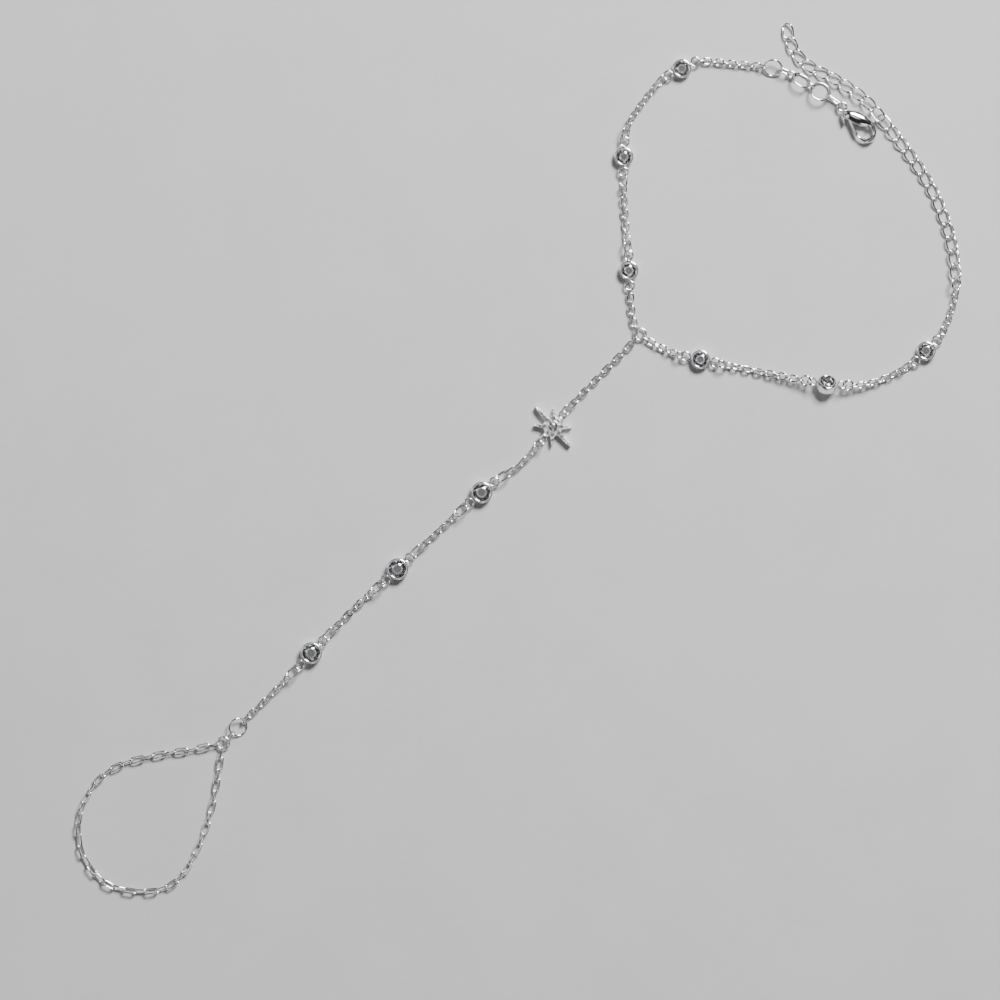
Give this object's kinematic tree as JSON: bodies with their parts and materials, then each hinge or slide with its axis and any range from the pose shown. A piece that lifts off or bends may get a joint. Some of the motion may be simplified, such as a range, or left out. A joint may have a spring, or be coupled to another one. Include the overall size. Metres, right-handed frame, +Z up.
{
  "type": "hand chain bracelet",
  "caption": "Fine chain bracelet with round set stones and a lobster clasp, joined by a stone-set strand with a star to a finger loop.",
  "frame": {"origin": "the middle of the star's flat underside, on the surface that the object lies on", "axes": "+Z up from the surface, +X towards the wrist loop's clasp side, +Y along the surface, so that the finger loop lies towards -X and -Y"},
  "size_m": [0.1772, 0.1745, 0.0038],
  "materials": {
    "metal": "polished",
    "stone": "clear"
  },
  "bodies": {
    "bracelet": {"wrist_bezel_1": "metal", "wrist_bezel_2": "metal", "wrist_bezel_3": "metal", "wrist_bezel_4": "metal", "wrist_bezel_5": "metal", "wrist_bezel_6": "metal", "hand_bezel_1": "metal", "hand_bezel_2": "metal", "hand_bezel_3": "metal", "wrist_rings_1": "metal", "wrist_rings_2": "metal", "wrist_rings_3": "metal", "wrist_rings_4": "metal", "wrist_rings_5": "metal", "wrist_rings_6": "metal", "hand_rings_1": "metal", "hand_rings_2": "metal", "hand_rings_3": "metal", "wrist_chain_1": "metal", "wrist_chain_2": "metal", "wrist_chain_3": "metal", "wrist_chain_4": "metal", "wrist_chain_5": "metal", "wrist_chain_6": "metal", "wrist_chain_7": "metal", "wrist_chain_8": "metal", "hand_chain_1": "metal", "hand_chain_2": "metal", "hand_chain_3": "metal", "hand_chain_4": "metal", "hand_chain_5": "metal", "yoke_ring": "metal", "star_setting": "metal", "star_rings": "metal", "finger_rings": "metal", "finger_chain": "metal", "clasp_tail": "metal", "clasp_body": "metal", "clasp_pin": "metal", "extender_chain": "metal", "extender_ring": "metal", "wrist_stone_1": "stone", "wrist_stone_2": "stone", "wrist_stone_3": "stone", "wrist_stone_4": "stone", "wrist_stone_5": "stone", "wrist_stone_6": "stone", "hand_stone_1": "stone", "hand_stone_2": "stone", "hand_stone_3": "stone", "star_stone": "stone", "star_pave": "stone"},
    "lever": {"clasp_lever": "metal"}
  },
  "joints": [
    {"name": "lever_hinge", "type": "hinge", "parent": "bracelet", "child": "lever", "pos_m": [0.05888, 0.06202, 0.0013], "axis": [0, 0, 1], "range_deg": [0, 18], "stiffness_Nm_per_rad": 0.004, "springref_deg": -28.65}
  ]
}
